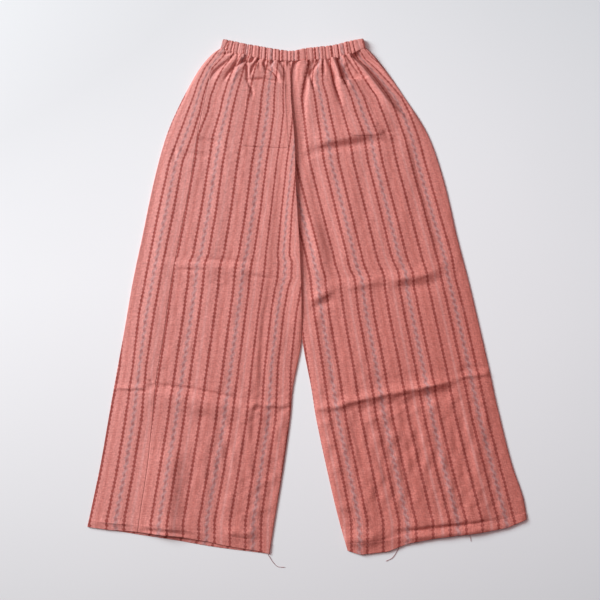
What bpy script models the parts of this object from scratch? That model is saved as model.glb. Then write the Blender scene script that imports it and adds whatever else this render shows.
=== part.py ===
"""Palazzo pants laid flat with the back up: the waist points to +Y, the legs spread to -Y and z = 0 is
the surface they lie on. Every piece is a thin wall of cloth, lofted through the sections named below:
the two fronts lie underneath, the two backs on top of them, and the front of the left leg turns over the
outer edge and ends at its side seam on the upper side. Metres throughout."""

import math
from collections import namedtuple

import bmesh
import bpy

CLOTH = 0.0012  # wall of one layer
GAP = 0.0003  # clearance at seams and between layers
WAIST_GAP = 0.0005  # clearance along the curved waist seam, whose two edges have different facets
LAYER = CLOTH + GAP  # underside of the upper layer where it lies flat
HEM_WALL = 0.0020  # wall of the upper layer over the turned-up hem
TURN = 0.0014  # how far the outer fold of the left leg bulges past its layers
OVERLAP = 0.006  # how far the right back runs under the left back along the centre
CENTRE_RISE = 0.0018  # how far the left back rises over the right back there
GATHER_LIFT = 0.0012  # how far the upper layer climbs to meet the waistband

BACK_COLUMNS = 30
FRONT_COLUMNS = 12
STRIP_COLUMNS = 6
TURN_STEPS = 4

BAND_WALL = 0.0030  # casing and elastic together
BAND_HOLLOW = 0.0010
BAND_GATHERS = 28
BAND_SCALLOP = 0.0006
BAND_COLUMNS = 56

# One row for each cross-section, from the waist seam down to the hem. The outer ends of a section are
# given for each leg, its inner ends lie `spread` to each side of the centre line, and `seam` is how far
# the front reaches over the upper side of the left leg, as a share of its width.
Section = namedtuple("Section", "left_x left_y centre_x centre_y spread right_x right_y seam")
SECTIONS = (
    Section(-0.1700, 0.481, -0.0275, 0.452, 0.0000, 0.1160, 0.482, 0.06),
    Section(-0.2065, 0.449, -0.0310, 0.430, 0.0000, 0.1480, 0.449, 0.12),
    Section(-0.2415, 0.387, -0.0300, 0.375, 0.0000, 0.1895, 0.387, 0.20),
    Section(-0.2755, 0.307, -0.0238, 0.295, 0.0000, 0.2375, 0.307, 0.24),
    Section(-0.2995, 0.213, -0.0205, 0.195, 0.0000, 0.2680, 0.213, 0.256),
    Section(-0.3205, 0.101, -0.0135, 0.080, 0.0000, 0.2920, 0.101, 0.236),
    Section(-0.3365, 0.017, -0.0100, -0.010, 0.0000, 0.3120, 0.017, 0.228),
    Section(-0.3505, -0.076, -0.0095, -0.095, 0.0000, 0.3320, -0.076, 0.226),
    Section(-0.3645, -0.164, -0.0095, -0.189, 0.0170, 0.3500, -0.163, 0.23),
    Section(-0.3735, -0.221, -0.0075, -0.251, 0.0250, 0.3610, -0.221, 0.24),
    Section(-0.3895, -0.327, -0.0040, -0.350, 0.0425, 0.3850, -0.327, 0.26),
    Section(-0.4035, -0.403, -0.0010, -0.435, 0.0595, 0.4060, -0.394, 0.27),
    Section(-0.4125, -0.450, 0.0025, -0.497, 0.0730, 0.4125, -0.436, 0.28),
)
HEM = len(SECTIONS) - 1
CROTCH = 7  # the section where the legs part
HEM_STITCH = HEM - 0.4  # where the turned-up hem is stitched, 18 mm above the edge
ROWS = [i / 2 for i in range(2 * HEM - 1)] + [HEM_STITCH - 0.04, HEM_STITCH, HEM]

# The hem's edge is not straight: how far it lies below (-) or above (+) the last section.
Hem = namedtuple("Hem", "share left_upper left_under right_upper right_under")
HEM_EDGE = (
    Hem(0.00, 0.000, 0.000, 0.000, 0.001),
    Hem(0.11, 0.000, 0.000, -0.009, -0.007),
    Hem(0.27, 0.004, 0.000, -0.009, -0.007),
    Hem(0.51, 0.006, 0.001, -0.004, -0.002),
    Hem(0.66, 0.004, -0.003, -0.004, -0.003),
    Hem(0.78, 0.001, -0.004, -0.012, -0.009),
    Hem(0.93, 0.000, -0.003, -0.008, -0.005),
    Hem(1.00, -0.003, -0.003, 0.003, 0.004),
)

# The waistband's two edges.
Band = namedtuple("Band", "x top bottom")
BAND = (
    Band(-0.1700, 0.4995, 0.4815),
    Band(-0.1440, 0.4945, 0.4705),
    Band(-0.1180, 0.4885, 0.4645),
    Band(-0.0915, 0.4845, 0.4570),
    Band(-0.0665, 0.4795, 0.4540),
    Band(-0.0275, 0.4735, 0.4525),
    Band(-0.0055, 0.4805, 0.4545),
    Band(0.0530, 0.4865, 0.4575),
    Band(0.0740, 0.4925, 0.4610),
    Band(0.0960, 0.4980, 0.4710),
    Band(0.1160, 0.5002, 0.4825),
)

# The largest gathers: where each fold leaves the waistband and where it dies out, as shares from the
# outer edge to the centre, how many sections it runs down, and how high and how wide it stands.
Fold = namedtuple("Fold", "side at_waist at_end runs height width")
FOLDS = (
    Fold("left", 0.15, 0.20, 3.0, 0.0020, 0.045),
    Fold("left", 0.29, 0.34, 2.2, 0.0022, 0.045),
    Fold("left", 0.43, 0.47, 1.6, 0.0018, 0.040),
    Fold("left", 0.57, 0.60, 1.4, 0.0016, 0.040),
    Fold("left", 0.72, 0.83, 1.9, 0.0022, 0.040),
    Fold("left", 0.86, 0.90, 3.5, 0.0014, 0.035),
    Fold("right", 0.12, 0.10, 3.0, 0.0022, 0.045),
    Fold("right", 0.26, 0.22, 2.4, 0.0022, 0.040),
    Fold("right", 0.40, 0.36, 1.5, 0.0018, 0.040),
    Fold("right", 0.54, 0.55, 1.4, 0.0016, 0.040),
    Fold("right", 0.68, 0.72, 2.4, 0.0020, 0.040),
    Fold("right", 0.84, 0.86, 3.0, 0.0014, 0.035),
)

# The patch pockets, as rows of the sections and columns of the back they are sewn to.
Pocket = namedtuple("Pocket", "side top bottom first last")
POCKETS = (Pocket("left", 1.5, 3.2, 14, 28), Pocket("right", 1.5, 3.0, 10, 17))

SALMON = (0.585, 0.205, 0.175)
SALMON_UNDER = (0.520, 0.175, 0.150)
SALMON_BAND = (0.550, 0.185, 0.155)


def smooth(rows, column, at):
    """A column of a table read at a fractional row, along a Catmull-Rom curve."""
    i = min(max(int(at), 0), len(rows) - 2)
    t = at - i
    a, b, c, d = (
        getattr(rows[min(max(k, 0), len(rows) - 1)], column) for k in (i - 1, i, i + 1, i + 2)
    )
    return b + t * (c - a + t * (2 * a - 5 * b + 4 * c - d + t * (3 * (b - c) + d - a))) / 2


def between(rows, key, column, at):
    """A column of a table read where its key column has a given value, along straight lines."""
    for low, high in zip(rows, rows[1:]):
        if at <= getattr(high, key):
            break
    span = getattr(high, key) - getattr(low, key)
    t = min(max((at - getattr(low, key)) / span, 0), 1)
    return getattr(low, column) * (1 - t) + getattr(high, column) * t


def band_edge(x, column):
    """An edge of the waistband over x, eased between the rows of its table."""
    reach = 0.012
    near = [between(BAND, "x", column, x + k * reach / 3) for k in range(-3, 4)]
    return sum(near) / len(near)


def plan(side, share, row, layer):
    """The place over the floor of a point on a leg: share 0 is its outer edge, 1 its inner one."""
    inward = 1 if side == "left" else -1
    spread = max(0, smooth(SECTIONS, "spread", row)) + GAP / 2
    outer_x, outer_y = (smooth(SECTIONS, f"{side}_{axis}", row) for axis in "xy")
    inner_x = smooth(SECTIONS, "centre_x", row) - inward * spread
    inner_y = smooth(SECTIONS, "centre_y", row)
    x = outer_x + share * (inner_x - outer_x)
    y = outer_y + share * (inner_y - outer_y)
    near_waist = max(0, 1 - row) ** 2
    near_hem = max(0, 1 - (HEM - row) / 2) ** 2
    y += near_waist * (band_edge(x, "bottom") - WAIST_GAP - y)
    y += near_hem * between(HEM_EDGE, "share", f"{side}_{layer}", share)
    return x, y


def hump(distance, width):
    """A soft ridge of height 1 that ends at its width."""
    return 0.5 + 0.5 * math.cos(math.pi * min(abs(distance) / width, 1))


def relief(side, share, row):
    """How far the upper layer's underside stands above its flat height: the gathers, and the left
    back's rise over the right back at the centre."""
    away_from_edges = min(1, share / 0.06) * min(1, max(0, 1 - share) / 0.08)
    height = GATHER_LIFT * max(0, 1 - row) * min(1, share / 0.06)
    for fold in FOLDS:
        if fold.side == side and row < fold.runs:
            down = row / fold.runs
            middle = fold.at_waist + down * (fold.at_end - fold.at_waist)
            height += fold.height * (1 - down) * hump(share - middle, fold.width) * away_from_edges
    if side == "left":
        apart = smooth(SECTIONS, "spread", row)
        height = max(height, CENTRE_RISE * hump(1 - share, 0.16) * (apart < GAP))
    if side == "right":
        height *= min(1, max(0, 0.92 - share) / 0.06)
    return height


def underside(side, share, row):
    return LAYER + relief(side, share, row)


def wall_over(row):
    """The wall of the upper layer, which is thicker over the turned-up hem."""
    return HEM_WALL if row >= HEM_STITCH else CLOTH


def loft(name, outside, inside, finish, ring=False):
    """One closed solid between two grids of points with the same rows and columns. In a ring the last
    column meets the first again."""
    mesh = bpy.data.meshes.new(name)
    bm = bmesh.new()
    grids = [[[bm.verts.new(p) for p in row] for row in grid] for grid in (outside, inside)]
    rows, columns = len(outside), len(outside[0])

    def patch(a, b, c, d):
        bm.faces.new((a, b, c))
        bm.faces.new((a, c, d))

    for grid in grids:
        for i in range(rows - 1):
            for j in range(columns if ring else columns - 1):
                k = (j + 1) % columns
                patch(grid[i][j], grid[i][k], grid[i + 1][k], grid[i + 1][j])
    outer, inner = grids
    for i in (0, rows - 1):
        for j in range(columns if ring else columns - 1):
            k = (j + 1) % columns
            patch(outer[i][j], outer[i][k], inner[i][k], inner[i][j])
    if not ring:
        for j in (0, columns - 1):
            for i in range(rows - 1):
                patch(outer[i][j], outer[i + 1][j], inner[i + 1][j], inner[i][j])
    bmesh.ops.recalc_face_normals(bm, faces=bm.faces)
    bm.to_mesh(mesh)
    bm.free()
    mesh.shade_smooth()
    mesh.materials.append(finish)
    piece = bpy.data.objects.new(name, mesh)
    parts.objects.link(piece)
    return piece


def cloth(name, colour):
    finish = bpy.data.materials.new(name)
    finish.use_nodes = True
    shader = finish.node_tree.nodes["Principled BSDF"]
    shader.inputs["Base Color"].default_value = (*colour, 1)
    shader.inputs["Roughness"].default_value = 0.92
    shader.inputs["Metallic"].default_value = 0
    return finish


def back_share(side, column, row):
    """The share of a back's column: it starts at the side seam and ends at the centre or inseam. Down to
    the crotch the right back runs on under the left one."""
    across = column / BACK_COLUMNS
    width = abs(smooth(SECTIONS, f"{side}_x", row) - smooth(SECTIONS, "centre_x", row))
    if side == "left":
        seam = smooth(SECTIONS, "seam", row) + 1.2 * GAP / width
        return seam + across * (1 - seam)
    under = OVERLAP * min(1, max(0, CROTCH - row)) / width
    return across * (1 + under)


def lay_on_back(side, rows, columns, lift, wall):
    """Two grids over part of a back, at a lift above its underside and a wall apart."""
    low, high = [], []
    for row in rows:
        shares = [back_share(side, j, row) for j in columns]
        spots = [(*plan(side, s, row, "upper"), underside(side, s, row) + lift) for s in shares]
        low.append(spots)
        high.append([(x, y, z + wall(row)) for x, y, z in spots])
    return high, low


def make_back(side):
    high, low = lay_on_back(side, ROWS, range(BACK_COLUMNS + 1), 0, wall_over)
    loft(f"back_{side}", high, low, cloth(f"back_{side}", SALMON))


def make_pocket(pocket):
    rows = [row for row in ROWS if pocket.top <= row <= pocket.bottom]
    columns = range(pocket.first, pocket.last + 1)
    high, low = lay_on_back(pocket.side, rows, columns, CLOTH + GAP, lambda row: CLOTH)
    loft(f"pocket_{pocket.side}", high, low, cloth(f"pocket_{pocket.side}", SALMON))


def make_front_right():
    """A flat panel on the floor, from the side seam to the centre seam and inseam."""
    low, high = [], []
    for row in ROWS:
        shares = [j / FRONT_COLUMNS for j in range(FRONT_COLUMNS + 1)]
        spots = [plan("right", s, row, "under") for s in shares]
        low.append([(x, y, 0) for x, y in spots])
        high.append([(x, y, CLOTH) for x, y in spots])
    loft("front_right", low, high, cloth("front_right", SALMON_UNDER))


def make_front_left():
    """A panel that lies on the floor, turns up round the leg's outer edge and ends at the side seam on
    the upper side."""
    outside, inside = [], []
    for row in ROWS:
        outer, inner = [], []
        turn = TURN / (smooth(SECTIONS, "centre_x", row) - smooth(SECTIONS, "left_x", row))
        seam = smooth(SECTIONS, "seam", row)
        top = underside("left", 0, row) + wall_over(row)
        for j in range(FRONT_COLUMNS, -1, -1):
            spot = plan("left", turn + j / FRONT_COLUMNS * (1 - turn), row, "under")
            outer.append((*spot, 0))
            inner.append((*spot, CLOTH))
        for k in range(1, TURN_STEPS):
            angle = math.pi * k / TURN_STEPS
            up, bulge = (1 - math.cos(angle)) / 2, math.sin(angle)
            under, upper = (plan("left", turn * (1 - bulge), row, layer) for layer in ("under", "upper"))
            outer.append((under[0], under[1] + up * (upper[1] - under[1]), up * top))
            x, y = plan("left", turn * (1 - 0.1 * bulge), row, "under")
            inner.append((x, y, CLOTH + up * GAP))
        for j in range(STRIP_COLUMNS + 1):
            share = turn + j / STRIP_COLUMNS * (seam - turn)
            x, y = plan("left", share, row, "upper")
            z = underside("left", share, row)
            outer.append((x, y, z + wall_over(row)))
            inner.append((x, y, z))
        outside.append(outer)
        inside.append(inner)
    loft("front_left", outside, inside, cloth("front_left", SALMON_UNDER))


def make_waistband():
    """The elastic casing: a flattened ring with a flat underside and a gathered upper side."""
    left, right = BAND[0].x, BAND[-1].x
    levels = (0, 0.25, 0.75, 1)
    outside, inside = [], []
    for level in levels:
        outer, inner = [], []
        for j in range(BAND_COLUMNS + 1):  # the upper wall, left to right
            share = j / BAND_COLUMNS
            x = left + share * (right - left)
            edges = band_edge(x, "bottom"), band_edge(x, "top")
            y = edges[0] + level * (edges[1] - edges[0])
            ripple = BAND_SCALLOP * math.cos(math.pi * BAND_GATHERS * 2 * share)
            at_end = j in (0, BAND_COLUMNS)
            high = 2 * BAND_WALL + BAND_HOLLOW + (0 if at_end else ripple)
            inset = BAND_WALL / 2 * ((j == 0) - (j == BAND_COLUMNS))
            outer.append((x, y, BAND_WALL * 1.6 if at_end else high))
            inner.append((x + inset, y, BAND_WALL + BAND_HOLLOW))
        for j in range(BAND_COLUMNS, -1, -2):  # the under wall, right to left
            x = left + j / BAND_COLUMNS * (right - left)
            edges = band_edge(x, "bottom"), band_edge(x, "top")
            y = edges[0] + level * (edges[1] - edges[0])
            inset = BAND_WALL / 2 * ((j == 0) - (j == BAND_COLUMNS))
            outer.append((x, y, 0))
            inner.append((x + inset, y, BAND_WALL))
        outside.append(outer)
        inside.append(inner)
    loft("waistband", outside, inside, cloth("waistband", SALMON_BAND), ring=True)


for old in list(bpy.data.objects):
    bpy.data.objects.remove(old, do_unlink=True)
parts = bpy.data.collections.new("palazzo_pants")
bpy.context.scene.collection.children.link(parts)

make_front_left()
make_front_right()
for leg in ("left", "right"):
    make_back(leg)
for patch_pocket in POCKETS:
    make_pocket(patch_pocket)
make_waistband()
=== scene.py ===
"""The looks of the palazzo pants: finer shells of striped cotton with gathers, creases and puckers replace
the plain panels, and stitches and loose threads are added. Metres, unless a comment says millimetres."""

import math
from collections import namedtuple

import bpy
import numpy as np
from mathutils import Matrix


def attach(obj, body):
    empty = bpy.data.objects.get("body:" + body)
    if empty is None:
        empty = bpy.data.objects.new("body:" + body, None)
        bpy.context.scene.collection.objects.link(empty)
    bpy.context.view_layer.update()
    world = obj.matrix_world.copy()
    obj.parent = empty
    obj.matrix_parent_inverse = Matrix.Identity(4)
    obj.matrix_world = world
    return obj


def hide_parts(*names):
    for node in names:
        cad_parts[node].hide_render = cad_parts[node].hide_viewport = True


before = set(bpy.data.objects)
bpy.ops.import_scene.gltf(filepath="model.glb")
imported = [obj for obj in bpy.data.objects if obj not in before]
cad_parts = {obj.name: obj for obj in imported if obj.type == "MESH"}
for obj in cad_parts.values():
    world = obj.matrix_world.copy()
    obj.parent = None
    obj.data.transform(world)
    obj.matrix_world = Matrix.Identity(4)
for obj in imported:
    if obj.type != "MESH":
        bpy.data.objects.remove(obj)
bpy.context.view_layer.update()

MM = 0.001


def rows_of(kind, *rows):
    """A table with named columns."""
    return tuple(kind(*row) for row in rows)


# ---- Cut ----

CLOTH = 0.0009  # wall of one layer
GAP = 0.0003  # clearance at seams and between layers
WAIST_GAP = 0.0002  # clearance along the waist seam
LAYER = CLOTH + GAP  # underside of a flat upper layer
HEM_WALL = 0.0017  # wall of the upper layer over the hem
POCKET_WALL = 0.0002  # wall of a pocket
TURN = 0.0014  # how far the left leg's outer fold bulges
OVERLAP = 0.006  # how far the right back runs under the left one
BAND_WALL = 0.003  # the waistband's underside with its elastic
BAND_HOLLOW = 0.001  # the slit inside the waistband
END_SLANT = 0.005  # how far the waistband's ends lean in

# The cross-sections, from the waist seam down to the hem. Their inner ends lie `spread` to each side of the
# centre line, and `seam` is how far across the left leg its side seam lies.
Section = namedtuple("Section", "left_x left_y centre_x centre_y spread right_x right_y seam")
SECTIONS = rows_of(
    Section,
    (-0.17, 0.481, -0.0275, 0.452, 0, 0.116, 0.482, 0.06),
    (-0.2065, 0.449, -0.031, 0.43, 0, 0.148, 0.449, 0.12),
    (-0.2415, 0.387, -0.03, 0.375, 0, 0.1895, 0.387, 0.2),
    (-0.2755, 0.307, -0.0238, 0.295, 0, 0.2375, 0.307, 0.24),
    (-0.2995, 0.213, -0.0205, 0.195, 0, 0.268, 0.213, 0.256),
    (-0.3205, 0.101, -0.0135, 0.08, 0, 0.292, 0.101, 0.236),
    (-0.3365, 0.017, -0.01, -0.01, 0, 0.312, 0.017, 0.228),
    (-0.3505, -0.076, -0.0095, -0.095, 0, 0.332, -0.076, 0.226),
    (-0.3645, -0.164, -0.0095, -0.189, 0.017, 0.35, -0.163, 0.23),
    (-0.3735, -0.221, -0.0075, -0.251, 0.025, 0.361, -0.221, 0.24),
    (-0.3895, -0.327, -0.004, -0.35, 0.0425, 0.385, -0.327, 0.26),
    (-0.4035, -0.403, -0.001, -0.435, 0.0595, 0.406, -0.394, 0.27),
    (-0.4125, -0.45, 0.0025, -0.497, 0.073, 0.4125, -0.436, 0.28),
)
HEM = len(SECTIONS) - 1
CROTCH = 7  # the section where the legs part
HEM_STITCH = HEM - 0.4  # where the turned-up hem is stitched

# How far the hem's edge lies below (-) or above (+) the last section.
Hem = namedtuple("Hem", "share left_upper left_under right_upper right_under")
HEM_EDGE = rows_of(
    Hem,
    (0, 0, 0, 0, 0.001),
    (0.11, 0, 0, -0.009, -0.007),
    (0.27, 0.004, -0.001, -0.009, -0.007),
    (0.51, 0.006, -0.002, -0.004, -0.002),
    (0.66, 0.004, -0.004, -0.004, -0.003),
    (0.78, 0.001, -0.004, -0.012, -0.009),
    (0.93, 0, -0.003, -0.008, -0.005),
    (1, -0.003, -0.003, 0.003, 0.004),
)

Band = namedtuple("Band", "x top bottom")
BAND = rows_of(
    Band,
    (-0.17, 0.4995, 0.4815),
    (-0.144, 0.4945, 0.4705),
    (-0.118, 0.4885, 0.4645),
    (-0.0915, 0.4845, 0.457),
    (-0.0665, 0.4795, 0.454),
    (-0.0275, 0.4735, 0.4525),
    (-0.0055, 0.4805, 0.4545),
    (0.053, 0.4865, 0.4575),
    (0.074, 0.4925, 0.461),
    (0.096, 0.498, 0.471),
    (0.116, 0.5002, 0.4825),
)

# Pockets: their top and bottom as section rows, their sides as shares of a back, and how far they gape.
Pocket = namedtuple("Pocket", "side top bottom first last gape")
POCKETS = rows_of(
    Pocket,
    ("left", 1.5, 3.2, 14 / 30, 28 / 30, 0.0016),
    ("right", 1.5, 3.0, 10 / 30, 17 / 30, 0.004),
)

# ---- Stripes ----

STRIPE_PITCH = 0.0295  # from one dark stripe to the next
CASING_PITCH = 0.0158  # the same where the elastic gathers the waistband
FRONT_RIGHT_START = 0.0059  # from a dark stripe to the right front's outer edge
WARP_TOP = 0.5  # where the stripes' pattern starts
WARP_SLANT = 1.01  # how much longer a slanting stripe is than its drop

# Where dark stripes cross a panel: first their numbers, outward from the centre seam or the front's side
# seam, and then rows of a y with their x there, in millimetres.
BACK_LEFT_WARP = (
    ("y", 1, 3, 6, 8),
    (-440, -115.6, -173.5, -261.4, -322),
    (-350, -102.1, -157.6, -248.3, -308),
    (-250, -87.5, -142.4, -233.8, -294),
    (-150, -80.6, -130.2, -220.7, -281),
    (-50, -69.5, -118.2, -207.5, -267.4),
    (0, -62, -112, -201.5, -261.5),
    (20, -57, -110.5, -199.5, -259),
    (52, -55, -106.6, -196.5, -256.8),
    (66, -57, -102.6, -190.6, -250.6),
    (150, -49.7, -90.7, -177.1, -235.9),
    (250, -39.3, -78.7, -164.4, -219.7),
    (300, -31.8, -71.1, -156, -214.5),
    (350, -27.2, -64.6, -147, -195.7),
    (380, -30.1, -64, -140.4, -190),
    (410, -31.1, -61.8, -132.2, -180),
    (440, -33, -58, -124, -165),
    (460, -34, -56, -116, -150),
    (480, -35, -55, -108, -140),
)
BACK_RIGHT_WARP = (
    ("y", 0, 2, 3, 6, 10),
    (-440, 82.6, 142, 171.7, 267, 388.7),
    (-350, 65.2, 123.7, 153, 245.1, 367.1),
    (-250, 44.3, 103, 132.4, 223.3, 342.9),
    (-150, 29.9, 88.2, 117.4, 206.7, 323.8),
    (-50, 14.3, 71.2, 99.6, 187.3, 303.5),
    (0, 8.5, 65, 93.5, 178.8, 292),
    (22, 6.5, 63.2, 91, 177.3, 286.5),
    (34, 4, 59, 84.5, 175.8, 284.5),
    (48, 1, 54.5, 80, 169, 283),
    (66, -2, 51, 77, 162.5, 280),
    (150, -24, 30.1, 57.2, 143.8, 257.9),
    (250, -50, 5.7, 33.6, 119.8, 231.6),
    (300, -60, -1.3, 27, 112.9, 219.3),
    (350, -64, -6.5, 19.8, 95.9, 202.2),
    (380, -70, -10, 15.7, 87.3, 188.1),
    (410, -72, -5.5, 9.8, 74.3, 164),
    (440, -76, 4, 13, 64, 137),
    (460, -76, 3, 20, 60, 116),
    (480, -76, 2, 22, 58, 102),
)
FRONT_LEFT_WARP = (
    ("y", 0, 1),
    (-440, -343.2, -375.6),
    (-350, -328.3, -359.3),
    (-250, -314.1, -344.7),
    (-150, -307.2, -332.7),
    (-50, -294.1, -323.4),
    (50, -278.3, -306.9),
    (150, -260.1, -289.2),
    (250, -243.8, -269.7),
    (300, -226, -252.7),
    (350, -211, -235),
    (380, -205, -224.2),
    (410, -196.5, -215.1),
    (440, -182, -201),
    (460, -168, -186),
    (480, -158, -172),
)

BACK_WARPS = {"left": BACK_LEFT_WARP, "right": BACK_RIGHT_WARP}

# ---- Creases ----

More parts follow.
